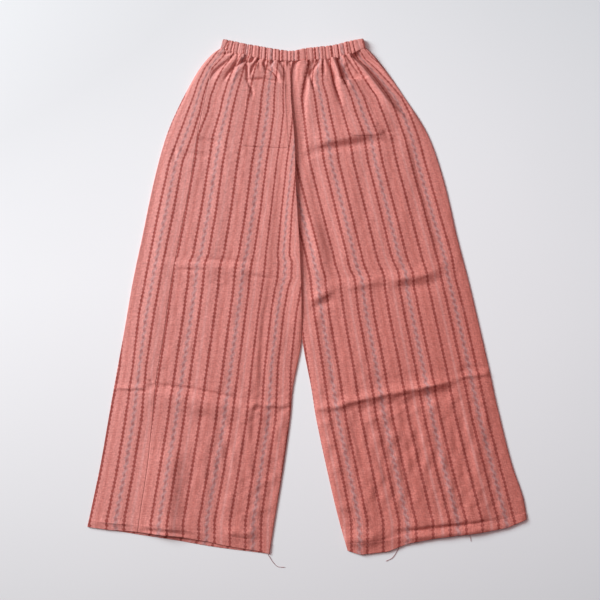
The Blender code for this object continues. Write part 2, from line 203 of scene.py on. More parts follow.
# A crease is a soft trough, or a ridge where its depth is negative. `left` and `right` are its widths to the
# sides of its line, `points` an x and a y in turn, `begin` and `end` its strength at its ends. Millimetres.
Crease = namedtuple("Crease", "depth left right points begin end", defaults=(0, 0))
CREASES = rows_of(
    Crease,
    # gathers of the left back, from the hip to the centre
    (3, 3, 3, (-173, 467, -160, 467, -148, 470, -144, 466), 0.5, 0.5),
    (3.6, 5, 3, (-143, 466, -154, 455, -164, 447, -174, 439, -186, 425, -195, 403), 0.8),
    (4, 2.6, 3, (-135, 465, -137, 455, -143, 445, -149, 435, -157, 424, -168, 404), 0.7),
    (4.4, 3, 3, (-118, 467, -121, 457, -130, 449, -141, 440, -148, 431), 0.9, 0.4),
    (3, 5, 3, (-119, 458, -122, 452, -125, 444)),
    (-1.2, 5, 4, (-143, 465, -152, 452, -163, 438, -176, 420, -188, 396), 0.4),
    (-2.4, 4, 4, (-128, 462, -134, 455, -140, 450)),
    (-1.6, 4, 4, (-126, 443, -135, 433, -144, 418, -150, 400), 0.5),
    (4.2, 2.5, 2.2, (-118, 450, -118, 430, -117, 412), 0.6, 0.4),
    (3.4, 2.5, 2.5, (-116, 411, -112, 402, -107, 390, -109, 377), 0.6, 0.3),
    (4.8, 3.5, 2.6, (-104, 464, -107, 457, -112, 451, -117, 446), 0.8),
    (4.2, 3, 2.4, (-92, 467, -95, 459, -101, 450, -107, 440, -110, 429, -113, 417), 1),
    (2.4, 3, 2.5, (-90, 458, -94, 448, -95, 432), 0.5),
    (3.6, 3, 2.4, (-78, 466, -82, 456, -85, 448, -82, 438, -83, 424), 0.9),
    (4.6, 4, 2.4, (-84, 446, -75, 438, -67, 432, -61, 425, -58, 415, -59, 403), 0.6),
    (-3, 5, 3, (-66, 442, -59, 433, -54, 423, -50, 410), 0.4),
    (4, 3, 2.4, (-64, 466, -67, 457, -70, 449, -70, 440), 1),
    (3.6, 2.6, 2.6, (-119, 416, -100, 416, -87, 417, -74, 414, -54, 413), 0.6, 0.5),
    (6.2, 4, 3, (-50, 468, -52, 455, -47, 445, -41, 432, -39, 415, -36, 403, -39, 384), 1, 0.2),
    (5.8, 3.5, 3, (-34, 468, -34, 455, -36, 445, -33, 432, -30, 418, -29, 396), 1),
    # gathers of the right back, from the centre to the hip
    (3, 3, 2.5, (3, 462, 6, 453, 5, 442), 1),
    (7, 4, 6, (14, 449, 8, 439, 4, 428, 2, 418, -1, 403, -4, 387, -7, 348), 0.9, 0.5),
    (5.5, 5, 7, (-7, 352, -9, 320, -10, 290, -14, 266), 0.6, 0.3),
    (2.4, 4, 4, (-8, 451, -14, 439, -14, 419, -14, 400)),
    (-2.8, 3.5, 3.5, (16, 449, 7, 439, 3, 428, 3, 410, 5, 390), 0.3),
    (5.2, 3.5, 3, (22, 461, 22, 450, 16, 440, 9, 430, 9, 418, 13, 404, 16, 387), 1),
    (3.4, 3, 2.5, (32, 461, 33, 450, 34, 437, 35, 419), 1),
    (6.2, 4, 5, (42, 460, 48, 445, 53, 430, 56, 413, 59, 399, 64, 381, 70, 351), 0.9),
    (-3.6, 4, 3.5, (51, 457, 58, 440, 64, 425, 68, 408), 0.7, 0.4),
    (7.4, 5, 3.2, (61, 458, 66, 446, 71, 433, 75, 420, 78, 407), 1, 0.6),
    (6.5, 14, 3, (72, 418, 84, 418, 96, 420, 112, 420), 0.7, 0.3),
    (5.5, 9, 12, (73, 448, 83, 438, 96, 428), 0.3, 0.3),
    (-2.6, 4, 4, (72, 466, 79, 454, 90, 441, 104, 426), 0.8),
    (3.6, 3.5, 2.5, (79, 462, 90, 446, 102, 432, 113, 419, 126, 401, 140, 382, 150, 361), 0.9),
    (-6.2, 5, 9, (86, 464, 98, 450, 114, 432, 132, 408, 148, 386, 166, 364, 188, 346), 0.6, 0.4),
    (10, 11, 7, (98, 463, 108, 457, 122, 448, 140, 430, 155, 411, 170, 391, 192, 358), 0.9, 0.2),
    (3.2, 3, 3, (100, 468, 120, 457, 133, 445, 148, 428, 162, 411, 175, 393, 204, 355), 0.8, 0.4),
    (4.5, 7, 7, (178, 360, 192, 354, 208, 348), 0.3),
    (3.4, 14, 5, (190, 330, 210, 262, 228, 190, 246, 118, 264, 40)),
    # packing creases of the left leg
    (3, 4, 8, (-217, 299, -195, 293, -163, 288)),
    (1.8, 4, 8, (-258, 270, -215, 266, -168, 264)),
    (2, 4, 5, (-258, 284, -259, 264, -260, 240)),
    (2.4, 3, 5, (-240, 58, -188, 56, -117, 54, -76, 46)),
    (-4.8, 7.5, 22, (-268, 50, -188, 43, -130, 37, -76, 29), 0.3, 0.4),
    (2, 3, 6, (-258, 38, -226, 36, -190, 34)),
    (1.8, 3, 5, (-124, 28, -88, 22, -50, 18)),
    (2.2, 3, 5, (-52, -55, -30, -53, -14, -46), 0, 0.5),
    (1.8, 12, 4, (-70, 40, -76, -16, -85, -80, -91, -208, -101, -245, -104, -335), 0.2),
    (-2.8, 5, 4, (-368, -190, -340, -191, -296, -191), 0.8),
    (3, 3.5, 6, (-294, -185, -237, -190, -211, -194, -154, -206, -110, -216), 0.6, 0.3),
    (-5.4, 9, 24, (-294, -201, -256, -206, -217, -214, -153, -225, -109, -232), 0.6, 0.6),
    (-3.4, 7, 5, (-112, -220, -88, -222, -62, -224, -34, -223), 0.2, 0.2),
    (1.8, 3, 4, (-56, -236, -44, -232, -32, -227), 0, 0.4),
    (3.4, 9, 12, (-222, -238, -188, -246, -158, -268, -146, -292)),
    (2, 3, 3, (-300, -174, -297, -178, -292, -181)),
    (-6, 20, 40, (-250, -286, -258, -370, -262, -450), 0, 1),
    (-1.8, 12, 14, (-146, -384, -150, -410, -154, -436)),
    (-2.2, 8, 12, (-44, -236, -52, -270, -60, -300), 0, 0.6),
    (-2, 6, 7, (-56, -318, -76, -322, -96, -328), 0.6),
    (-2.2, 6, 7, (-64, -362, -84, -368, -104, -376), 0.6),
    (-2.2, 6, 7, (-72, -414, -92, -420, -112, -424), 0.6),
    # packing creases of the right leg
    (-5.6, 26, 9, (6, 280, 40, 290, 82, 298, 112, 305, 138, 309), 0, 0.8),
    (-3, 8, 7, (140, 303, 156, 301, 174, 298), 0.6),
    (5, 9, 7, (-14, 258, 0, 264, 32, 274, 78, 281, 131, 289, 172, 288), 0.6, 0.2),
    (3.2, 10, 8, (130, 326, 150, 312, 168, 294)),
    (1.6, 2, 4, (150, 304, 172, 300, 198, 290)),
    (3.6, 24, 18, (2, 262, 12, 228, 24, 160, 44, 100, 52, 60, 58, 24)),
    (-3.6, 13, 12, (2, 150, 14, 112, 24, 84, 29, 60, 33, 34), 0, 0.4),
    (4.6, 7, 7, (-16, -41, 12, -36, 34, -29, 58, -18), 0.8),
    (-4.4, 9, 7, (-8, -23, 18, -18, 42, -7, 58, 2), 0.5),
    (-2.4, 8, 16, (-2, -3, 40, 5, 77, 11, 142, 21, 200, 31, 265, 50, 300, 66), 0.4, 0.4),
    (-2.8, 8, 7, (68, 3, 96, 5, 128, 10, 154, 12)),
    (-4.4, 8, 7, (150, 15, 180, 18, 206, 21, 240, 29, 266, 44)),
    (-2.2, 5, 6, (-30, -62, -6, -60, 22, -60), 0.5),
    (3, 6, 14, (150, 0, 200, 4, 240, 9, 276, 30)),
    (-5.8, 9, 6.5, (10, -230, 56, -226, 78, -218, 133, -206, 203, -193, 284, -176), 0.6, 0.2),
    (2.4, 8, 12, (60, -244, 101, -232, 203, -216, 262, -206, 304, -196)),
    (-3.6, 4, 8, (196, -193, 226, -188, 256, -182, 286, -176)),
    (4, 9, 10, (190, -216, 232, -207, 262, -200, 294, -190)),
    (-3.4, 6, 4, (284, -172, 318, -167, 352, -163), 0.2, 0.8),
    (3.2, 4, 6, (284, -160, 318, -153, 352, -149), 0, 0.6),
    (1.8, 10, 14, (104, -182, 165, -174, 220, -166, 272, -156)),
    (2.2, 5, 4, (80, -232, 88, -268, 99, -308, 114, -380)),
    (-2.4, 6, 6, (16, -256, 34, -257, 52, -254), 1),
    (-2.2, 6, 6, (22, -294, 40, -295, 60, -290), 1),
    (-2.2, 6, 6, (38, -345, 56, -344, 74, -338), 1),
    (-2.6, 8, 7, (50, -412, 70, -414, 96, -408), 1),
    (-2.4, 7, 9, (106, -250, 122, -251, 138, -247)),
    (-2.6, 5, 7, (116, -284, 150, -283, 206, -276)),
    (-2.6, 8, 8, (124, -330, 136, -350, 150, -372)),
    (-1.8, 13, 13, (292, -218, 303, -250, 312, -306)),
    (2, 10, 9, (146, -252, 176, -258, 206, -258)),
    (2.2, 9, 10, (150, -306, 172, -310, 196, -306)),
    # the hems
    (-2, 5, 3, (-400, -438, -362, -442, -322, -446)),
    (-3.6, 12, 7, (-322, -445, -280, -449, -238, -453, -196, -460)),
    (-3.8, 4, 6, (-316, -460, -280, -463, -238, -467, -196, -474)),
    (-4.2, 10, 8, (-160, -457, -126, -461, -86, -467)),
    (-3, 16, 6, (130, -454, 177, -450, 239, -444, 300, -438, 372, -428), 0, 0.2),
    (2.4, 4, 6, (150, -463, 177, -459, 239, -453, 300, -446, 372, -437), 0, 0.2),
    (-4.4, 9, 7, (150, -475, 177, -471, 239, -465, 300, -459, 372, -449, 402, -440), 0, 0.3),
    (-6, 14, 10, (64, -473, 104, -472, 156, -466), 0.9),
)

# Where the cloth is puckered: a round place, its reach and how high its puckers stand, in millimetres.
Patch = namedtuple("Patch", "x y reach height")
PUCKERED = rows_of(
    Patch,
    (150, -330, 130, 0.9), (300, -320, 110, 0.75), (40, -120, 90, 0.45), (-120, -330, 110, 0.7),
    (-200, -100, 150, 0.32), (180, 150, 150, 0.32), (-150, 200, 140, 0.34),
)

# The waistband's gathers: where each groove lies and how deep it is, in millimetres.
Groove = namedtuple("Groove", "x depth")
BAND_GROOVES = rows_of(
    Groove,
    (-159, 2.2), (-153, 0.8), (-147, 2.2), (-135.5, 2), (-131, 0.7), (-127, 0.6), (-120, 2), (-115.5, 1.2),
    (-107, 2.2), (-100, 0.5), (-94, 2.2), (-88, 1.2), (-81, 2), (-76.5, 1.2), (-67, 2), (-60, 0.5),
    (-53, 2.8), (-45, 0.8), (-37, 1.9), (-31, 0.8), (-24, 1.3), (-13, 0.6), (-2, 1.9), (5, 0.6), (13, 2),
    (18, 1.2), (25, 1.2), (38, 2.1), (45, 0.7), (52, 2), (56, 0.8), (64, 2), (68, 0.7), (75, 1.9),
    (87, 2.1), (94, 1.3), (103, 0.7),
)
BAND_EASE = 0.004  # a step of the average that rounds the waistband's edges
GROOVE_LEAN = 0.035  # how much the grooves fan out towards the legs
GROOVE_MIDDLE = -0.04  # where a groove would stand upright
GROOVE_WIDTH = 1.5  # in millimetres
GROOVE_POWER = 1.5  # how sharply a groove's sides come up


def column(rows, name):
    return np.array([getattr(row, name) for row in rows], dtype=float)


def spline(a, b, c, d, t):
    """The Catmull-Rom curve from b to c."""
    return b + t * (c - a + t * (2 * a - 5 * b + 4 * c - d + t * (3 * (b - c) + d - a))) / 2


def section(name, row):
    """A column of the sections' table read at fractional rows."""
    values = column(SECTIONS, name)
    i = np.clip(np.floor(row).astype(int), 0, HEM - 1)
    return spline(*(values[np.clip(i + k, 0, HEM)] for k in (-1, 0, 1, 2)), row - i)


def band_edge(x, name):
    """An edge of the waistband, eased between the rows of its table."""
    near = [np.interp(x + k * BAND_EASE, column(BAND, "x"), column(BAND, name)) for k in range(-3, 4)]
    return sum(near) / len(near)


def ease(value):
    """A soft step from 0 to 1."""
    t = np.clip(value, 0, 1)
    return t * t * (3 - 2 * t)


def hump(distance, width):
    """A soft ridge of height 1 that ends at its width."""
    return 0.5 + 0.5 * np.cos(np.pi * np.minimum(np.abs(distance) / width, 1))


def leg_width(side, row):
    return np.abs(section(f"{side}_x", row) - section("centre_x", row))


def plan(side, share, row, layer):
    """The place over the floor of points on a leg: share 0 is its outer edge, 1 its inner one."""
    inward = 1 if side == "left" else -1
    spread = np.maximum(0, section("spread", row)) + GAP / 2
    outer_x, outer_y = (section(f"{side}_{axis}", row) for axis in "xy")
    inner_x = section("centre_x", row) - inward * spread
    inner_y = section("centre_y", row)
    x = outer_x + share * (inner_x - outer_x)
    y = outer_y + share * (inner_y - outer_y)
    near_waist = np.maximum(0, 1 - row) ** 2
    near_hem = np.maximum(0, 1 - (HEM - row) / 2) ** 2
    y = y + near_waist * (band_edge(x, "bottom") - WAIST_GAP - y)
    y = y + near_hem * np.interp(share, column(HEM_EDGE, "share"), column(HEM_EDGE, f"{side}_{layer}"))
    return x, y


def curve(points, steps=8):
    """A smooth line through points."""
    p = np.array(points, dtype=float)
    p = np.concatenate([[2 * p[0] - p[1]], p, [2 * p[-1] - p[-2]]])
    t = np.arange(steps)[:, None] / steps
    bows = [spline(*ends, t) for ends in zip(p, p[1:], p[2:], p[3:])]
    return np.concatenate([*bows, p[-2:-1]])


CREASE_REACH = 2.6  # how many widths away a crease no longer counts
CREASE_RISE, CREASE_FADE = 0.3, 0.4  # the shares of its length over which it begins and ends


def crease_depth(crease, x, y):
    """How deep a crease is at each place, in millimetres."""
    line = curve(np.reshape(crease.points, (-1, 2)))
    start, step = line[:-1], np.diff(line, axis=0)
    length = np.hypot(step[:, 0], step[:, 1])
    run = np.cumsum(length) - length
    reach = CREASE_REACH * max(crease.left, crease.right)
    low, high = line.min(0) - reach, line.max(0) + reach
    near = (x > low[0]) & (x < high[0]) & (y > low[1]) & (y < high[1])
    depth = np.zeros_like(x)
    if not near.any():
        return depth
    spot = np.stack([x[near], y[near]], -1)[:, None] - start
    share = np.clip((spot * step).sum(-1) / length**2, 0, 1)
    off = np.hypot(*np.moveaxis(spot - share[..., None] * step, -1, 0))
    nearest = off.argmin(1)
    pick = np.arange(len(nearest)), nearest
    turn = step[nearest, 0] * spot[pick][:, 1] - step[nearest, 1] * spot[pick][:, 0]
    at = (run[nearest] + share[pick] * length[nearest]) / length.sum()
    strength = crease.begin + (1 - crease.begin) * ease(at / CREASE_RISE)
    strength = strength * (crease.end + (1 - crease.end) * ease((1 - at) / CREASE_FADE))
    width = np.where(turn > 0, crease.left, crease.right)
    depth[near] = crease.depth * strength * np.exp(-((off[pick] / width) ** 2))
    return depth


# Waves of mixed lengths, whose crests stand within `turn` of upright.
Waves = namedtuple("Waves", "seed count lengths turn")
RIPPLES = Waves(3, 7, (0.045, 0.11), 0.25)
PUCKERS = Waves(11, 12, (0.014, 0.034), 1.4)


def unevenness(waves, x, y):
    """A surface between about -1 and 1."""
    draws = np.random.default_rng(waves.seed)
    total = np.zeros_like(x)
    for _ in range(waves.count):
        length = draws.uniform(*waves.lengths)
        angle = draws.uniform(-waves.turn, waves.turn)
        phase = draws.uniform(0, 2 * np.pi)
        total += np.cos(2 * np.pi * (x * np.cos(angle) + y * np.sin(angle)) / length + phase)
    return total / math.sqrt(waves.count)


def upright(x, level):
    """Where a groove crosses the waistband's middle. Level 0 is the waist seam, level 1 the top edge."""
    return x + GROOVE_LEAN * (x - GROOVE_MIDDLE) * (level - 0.5)


def band_puff(x, level=0.0):
    """How far the waistband sinks into its grooves."""
    middle = upright(x, level)
    puff = np.zeros_like(middle)
    for groove in BAND_GROOVES:
        away = np.abs(middle / MM - groove.x)
        puff = np.minimum(puff, -groove.depth * MM * np.exp(-((away / GROOVE_WIDTH) ** GROOVE_POWER)))
    return puff


LOFT = 0.0036  # how far air lifts a leg's upper layer
LOFT_REACH = 0.016  # how soon it comes up from an edge that faces the light
SHADED_REACH = 0.003  # the same from the other edge, up to SHADED_SHARE
SHADED_SHARE = 0.25
SHADED_RISE = 0.11  # how far from that edge the loft is whole
ROW_DROP = 0.08  # from one section to the next
HEM_LOFT = 0.35  # the loft's share at the hem
HEM_REACH = 0.05  # and how far up it is less
RIPPLE = 0.0005  # height of the long ripples
LEAST_LOFT = 0.0008  # how softly the cloth comes to rest
EDGE_REACH = 0.006  # how soon the layers part behind an edge
FOLD_LIFT = 0.001  # the lift along the left leg's outer fold
WAIST_LOFT = 0.007  # how far the gathers puff out under the waistband
WAIST_ROWS = 3.4  # how many rows down they do
WAIST_TOP = 0.0092  # height of the waist seam between two gathers
LAP_LIFT = 0.005  # the left back's lift where it laps the right back
LAP_REACH = 0.045
UNDER_LAP = 0.0022  # the right back's lift where it comes out from under the left one
LAP_GAPE = 0.0018  # how much further they part where the lap gapes
LAP_GAPE_ROW, LAP_GAPE_REACH = 4.0, 3.0
SURFACING = 0.008, 0.024  # where the right back starts to rise, and over what distance
SURFACING_AT_WAIST = 0.012


def lift(side, share, row):
    """How far the upper layer's underside stands above its flat height."""
    x, y = plan(side, share, row, "upper")
    width = leg_width(side, row)
    from_outer, from_inner = share * width, np.maximum(0, 1 - share) * width
    from_hem = (HEM - row) * ROW_DROP
    joined = ease(CROTCH - row + 0.4)
    lit, shaded = (from_outer, from_inner) if side == "left" else (from_inner, from_outer)
    loft = LOFT * (1 - np.exp(-lit / LOFT_REACH)) * (1 - np.exp(-shaded / SHADED_REACH))
    loft = loft * (SHADED_SHARE + (1 - SHADED_SHARE) * ease(shaded / SHADED_RISE))
    loft = loft * (HEM_LOFT + (1 - HEM_LOFT) * ease(from_hem / HEM_REACH))
    loft = loft + WAIST_LOFT * (1 - ease(row / WAIST_ROWS))
    for crease in CREASES:
        loft = loft - crease_depth(crease, x / MM, y / MM) * MM
    loft = loft + RIPPLE * unevenness(RIPPLES, x, y)
    puckers = unevenness(PUCKERS, x, y)
    for patch in PUCKERED:
        away = np.hypot(x / MM - patch.x, y / MM - patch.y) / patch.reach
        loft = loft + patch.height * MM * puckers * np.exp(-(away**2))
    loft = loft + 1.2 * band_puff(x) * (1 - ease(row / 0.9))
    loft = (loft + np.sqrt(loft**2 + LEAST_LOFT**2)) / 2  # never below the layer underneath
    edge = ease(from_outer / EDGE_REACH)
    parted = (1 - joined) * ease(from_inner / EDGE_REACH)
    at_waist = WAIST_TOP + band_puff(x) - LAYER - CLOTH
    gape = LAP_GAPE * hump(row - LAP_GAPE_ROW, LAP_GAPE_REACH)
    if side == "left":
        loft = FOLD_LIFT + (loft - FOLD_LIFT) * edge
        lap = joined * hump(from_inner, LAP_REACH)
        loft = (loft + lap * (np.maximum(loft, LAP_LIFT) + gape - loft)) * (joined + parted)
    else:
        gathered = 1 - ease((row - 0.8) / 1.8)
        surfacing = ease((from_inner - SURFACING[0]) / SURFACING[1])
        surfacing = np.maximum(surfacing, ease((from_inner - OVERLAP) / SURFACING_AT_WAIST) * gathered)
        loft = loft * edge * (joined * surfacing + parted)
        loft = loft + joined * (UNDER_LAP - gape) * (1 - ease(from_inner / LAP_REACH))
        at_waist = at_waist - (CLOTH + GAP) * (1 - ease((from_inner - OVERLAP) / OVERLAP))
    return loft + (1 - ease(row / 0.3)) * (at_waist - loft)


def wall_over(row):
    return CLOTH + (HEM_WALL - CLOTH) * ease((row - HEM_STITCH) / 0.03)


def place_across(x, y, warp):
    """How far across the woven cloth each place lies."""
    (_, *stripes), *rows = warp
    heights, *columns = np.array(rows).T * MM
    keys = [np.interp(y, heights, line) for line in columns]
    count = stripes[0] + 0 * x
    last = len(stripes) - 2
    for i in range(last + 1):
        part = (x - keys[i]) / (keys[i + 1] - keys[i])
        part = np.clip(part, 0 if i else -np.inf, 1 if i < last else np.inf)
        count = count + part * (stripes[i + 1] - stripes[i])
    return count * STRIPE_PITCH


# ---- Meshes ----

MAP_EDGE = 0.01  # the bare edge round each half of a piece's bake map

# The columns and rows of the pieces' grids.
BACK_COLUMNS, BACK_ROWS = 126, 350
POCKET_COLUMNS, POCKET_ROWS = 40, 46
FRONT_COLUMNS, FRONT_ROWS = 50, 160  # the right one's
FRONT_LEFT_COLUMNS = 26, 9, 46  # on the floor, round the fold and on the upper side
BAND_COLUMNS, BAND_ROWS = (400, 100), 20  # over it and underneath
THREAD_SIDES = 6


def show(name, data):
    made = bpy.data.objects.new(name, data)
    bpy.context.scene.collection.objects.link(made)
    return made


def piece(name, points, faces, finish, bake_map=None, cloth=None):
    """A smooth object from arrays that rides on the body."""
    mesh = bpy.data.meshes.new(name)
    mesh.from_pydata(points.tolist(), [], faces)
    mesh.shade_smooth()
    mesh.materials.append(finish)
    if cloth is not None:
        layer = mesh.attributes.new("cloth", "FLOAT_VECTOR", "POINT")
        layer.data.foreach_set("vector", cloth.astype(np.float32).ravel())
        layer = mesh.uv_layers.new(name="OFBake")
        layer.data.foreach_set("uv", bake_map.astype(np.float32).ravel())
    made = show(name, mesh)
    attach(made, "root")
    return made


def shell(name, outside, inside, cloth, finish, ring=False):
    """One closed wall of cloth between two grids of points that meet along their borders. In a ring the
    last column meets the first."""
    rows, columns = outside.shape[:2]
    index = np.arange(rows * columns).reshape(rows, columns)
    border = np.zeros((rows, columns), dtype=bool)
    border[[0, -1]] = True
    if not ring:
        border[:, [0, -1]] = True
    middle = (outside + inside) / 2
    outside = np.where(border[..., None], middle, outside)
    under = np.where(border, index, rows * columns + np.cumsum(~border).reshape(rows, columns) - 1)
    points = np.concatenate([outside.reshape(-1, 3), inside[~border]])
    cloth = np.concatenate([cloth.reshape(-1, 3), cloth[~border]])
    faces, maps = [], []
    u, v = np.meshgrid(np.linspace(0, 1, columns + ring), np.linspace(1, 0, rows))
    inner, near, far = 1 - 2 * MAP_EDGE, slice(None, -1), slice(1, None)
    for side, grid in ((0, index), (1, under)):
        if ring:
            grid = np.concatenate([grid, grid[:, :1]], axis=1)
        place = np.stack([(MAP_EDGE + u * inner + side) / 2, MAP_EDGE + v * inner], -1)
        turns = [(near, near), (near, far), (far, far), (far, near)][:: 1 if side else -1]
        faces.append(np.stack([grid[turn] for turn in turns], -1).reshape(-1, 4))
        maps.append(np.stack([place[turn] for turn in turns], -2).reshape(-1, 2))
    return piece(name, points, np.concatenate(faces).tolist(), finish, np.concatenate(maps), cloth)


def near_ends(count, inset):
    """Shares from 0 to 1 with an extra one just inside each end, for a neat edge."""
    inner = np.linspace(0, 1, count)[1:-1]
    return np.concatenate([[0, inset], inner, [1 - inset, 1]])


CROWDING = 2.2  # how much closer a panel's rows are at its waist, packing creases and hem
Busy = namedtuple("Busy", "row reach")
BUSY_ROWS = rows_of(Busy, (0.7, 1.4), (3.3, 0.35), (5.7, 0.35), (8.5, 0.45), (11.7, 0.35))


def panel_rows(count):
    """Rows down a leg."""
    rows = np.linspace(0, HEM, 1200)
    crowd = 1 + sum(CROWDING * np.exp(-(((rows - busy.row) / busy.reach) ** 2)) for busy in BUSY_ROWS)
    run = np.concatenate([[0], np.cumsum((crowd[1:] + crowd[:-1]) / 2)])
    return np.interp(near_ends(count, 0.0003), run / run[-1], rows)


def raised(points, height):
    return points + np.asarray(height)[..., None] * (0, 0, 1)


def cloth_places(across, y):
    """Where points lie on the woven cloth."""
    return np.stack([across, (WARP_TOP - y) * WARP_SLANT, 0 * y], -1)


def back_shares(side, across, row):
    """Shares of a back's columns. Down to the crotch the right back runs on under the left one."""
    width = leg_width(side, row)
    if side == "left":
        seam = section("seam", row) + 0.5 * GAP / width
        return seam + across * (1 - seam)
    return across * (1 + OVERLAP * np.clip(CROTCH - row, 0, 1) / width)


def lay_on_back(side, row, across, raise_by, wall):
    """Two grids over part of a back, a wall apart."""
    share = back_shares(side, across, row)
    x, y = plan(side, share, row, "upper")
    low = np.stack([x, y, LAYER + lift(side, share, row) + raise_by], -1)
    return raised(low, wall), low, cloth_places(place_across(x, y, BACK_WARPS[side]), y)


def make_back(side, finish):
    across, row = np.meshgrid(near_ends(BACK_COLUMNS, 0.0007), panel_rows(BACK_ROWS))
    high, low, cloth = lay_on_back(side, row, across, 0, wall_over(row))
    return shell(f"back_{side}_cloth", high, low, cloth, finish)


GAPE_DEPTH = 0.4  # the share of a pocket's height that gapes
GAPE_MIDDLE = 0.6  # where it gapes most, as a share of its width


def make_pocket(pocket, finish):
    across, down = np.meshgrid(near_ends(POCKET_COLUMNS, 0.006), near_ends(POCKET_ROWS, 0.005))
    gape = pocket.gape * (1 - ease(down / GAPE_DEPTH)) * hump(across - GAPE_MIDDLE, GAPE_MIDDLE)
    row = pocket.top + down * (pocket.bottom - pocket.top)
    across = pocket.first + across * (pocket.last - pocket.first)
    high, low, cloth = lay_on_back(pocket.side, row, across, CLOTH + GAP / 2 + gape, POCKET_WALL)
    return shell(f"pocket_{pocket.side}_cloth", high, low, cloth, finish)


def make_front_right(finish):
    share, row = np.meshgrid(near_ends(FRONT_COLUMNS, 0.0012), panel_rows(FRONT_ROWS))
    x, y = plan("right", share, row, "under")
    low = np.stack([x, y, 0 * x], -1)
    cloth = cloth_places(share * leg_width("right", row) + FRONT_RIGHT_START, y)
    return shell("front_right_cloth", low, raised(low, CLOTH), cloth, finish)


def make_front_left(finish):
    """The panel lies on the floor, turns up round the outer edge and ends at the side seam."""
    on_floor, round_fold, on_top = FRONT_LEFT_COLUMNS
    row = panel_rows(BACK_ROWS)[:, None]
    turn = TURN / leg_width("left", row)
    seam = section("seam", row)
    top = LAYER + lift("left", 0 * row, row) + wall_over(row)
    fold_x, fold_y = plan("left", turn, row, "under")
    at_fold = place_across(fold_x, fold_y, FRONT_LEFT_WARP)

    x, y = plan("left", turn + near_ends(on_floor, 0.0015)[::-1] * (1 - turn), row, "under")
    strips = [((x, y, 0 * x), (x, y, 0 * x + CLOTH), at_fold + (x - fold_x))]

    angle = np.linspace(0, math.pi, round_fold)[1:-1]
    up, bulge = (1 - np.cos(angle)) / 2, np.sin(angle)
    x, y = plan("left", turn * (1 - bulge), row, "under")
    above = plan("left", turn * (1 - bulge), row, "upper")[1]
    x_in, y_in = plan("left", turn * (1 - 0.1 * bulge), row, "under")
    inner = x_in, y_in, CLOTH + up * (top - wall_over(row) - CLOTH)
    strips.append(((x, y + up * (above - y), up * top), inner, at_fold + 0 * x))

    share = turn + near_ends(on_top, 0.002)[1:] * (seam - turn)
    x, y = plan("left", share, row, "upper")
    z = LAYER + lift("left", share, row)
    strips.append(((x, y, z + wall_over(row)), (x, y, z), place_across(x, y, FRONT_LEFT_WARP)))

    outer, inner = (np.concatenate([np.stack(strip[side], -1) for strip in strips], 1) for side in (0, 1))
    across = np.concatenate([strip[2] for strip in strips], 1)
    return shell("front_left_cloth", outer, inner, cloth_places(across, outer[..., 1]), finish)


CLOSING = 0.01  # the share of its width over which the waistband's ends close
TOP_PUFF = 0.6  # how much of the grooves' depth its top edge shows
TOP_RIDGE = 0.0008  # how far the upper side reaches past the underside
CROWN = 0.0012  # how far the upper side swells halfway up
CROWN_CALM = 0.25  # how much shallower the grooves are there
LEAST_BAND = 0.0048  # height of the deepest groove
ROUND_FROM = 0.86  # the level where the top edge starts to round over
EDGE_SHARE = 0.15  # how much of its height the edge keeps
CASING_START = 3.5 + 0.024 / CASING_PITCH  # the stripe count at the centre line
CASING_SWAY, CASING_BEAT = 0.0018, 0.0047  # how far its stripes are pushed aside, and how often


def make_waistband(finish):
    """The elastic casing: a flattened ring with a flat underside and a gathered upper side."""
    left, right = BAND[0].x, BAND[-1].x
    level = near_ends(BAND_ROWS, 0.01)[:, None]
    over, under = (np.linspace(0, 1, count) for count in BAND_COLUMNS)
    walls = []
    for share, upper in ((over, True), (under[-2:0:-1], False)):
        x = left + share * (right - left)
        puff = band_puff(x, level) * upper
        at_end = np.minimum(ease(share / CLOSING), ease((1 - share) / CLOSING))
        bottom, top = band_edge(x, "bottom"), band_edge(x, "top") + TOP_PUFF * puff + TOP_RIDGE * upper
        y = bottom + level * (top - bottom)
        slant = END_SLANT * (1 - 2 * share) ** 5
        flat = np.stack([x + slant * (level - 0.5), y, 0 * y], -1)
        if upper:
            crown = np.sqrt(np.maximum(0, 1 - (2 * level - 1) ** 4))
            rounding = np.sqrt(1 - np.clip((level - ROUND_FROM) / (1 - ROUND_FROM), 0, 1) ** 2)
            high = np.maximum(WAIST_TOP + puff * (1 - CROWN_CALM * crown) + CROWN * crown, LEAST_BAND)
            low = BAND_WALL + BAND_HOLLOW * at_end
            high = low + (high - low) * (EDGE_SHARE + (1 - EDGE_SHARE) * rounding) * at_end
            walls.append((raised(flat, high), raised(flat, low)))
        else:
            walls.append((flat, raised(flat, BAND_WALL)))
    outside, inside = (np.concatenate(grids, axis=1) for grids in zip(*walls))
    middle = upright(outside[..., 0], level)
    count = CASING_START + (middle + CASING_SWAY * np.sin(middle / CASING_BEAT)) / CASING_PITCH
    cloth = cloth_places(count * STRIPE_PITCH, outside[..., 1])
    return shell("waistband_cloth", outside, inside, cloth, finish, ring=True)


def tube(line, radius, beside, upward):
    """Corners in a ring round each point of a line, and their faces."""
    angles = 2 * np.pi * np.arange(THREAD_SIDES)[:, None] / THREAD_SIDES
    around = np.cos(angles) * beside[:, None] + np.sin(angles) * upward[:, None]
    corners = (line[:, None] + np.reshape(radius, (-1, 1, 1)) * around).reshape(-1, 3)
    ring = np.arange(len(corners)).reshape(-1, THREAD_SIDES)
    after = np.roll(ring, -1, axis=1)
    wall = np.stack([ring[:-1], after[:-1], after[1:], ring[1:]], -1).reshape(-1, 4)
    return corners, [*wall.tolist(), ring[0, ::-1].tolist(), ring[-1].tolist()]


# Where a stitch's rings lie, as shares of its length, and their radii.
STITCH_RINGS = np.array((-0.5, -0.38, 0.38, 0.5))
STITCH_RADII = 0.00022 * np.array((0.3, 1, 1, 0.3))
SEWN_ABOVE = 0.00005  # how far the middle of a stitch lies above the cloth


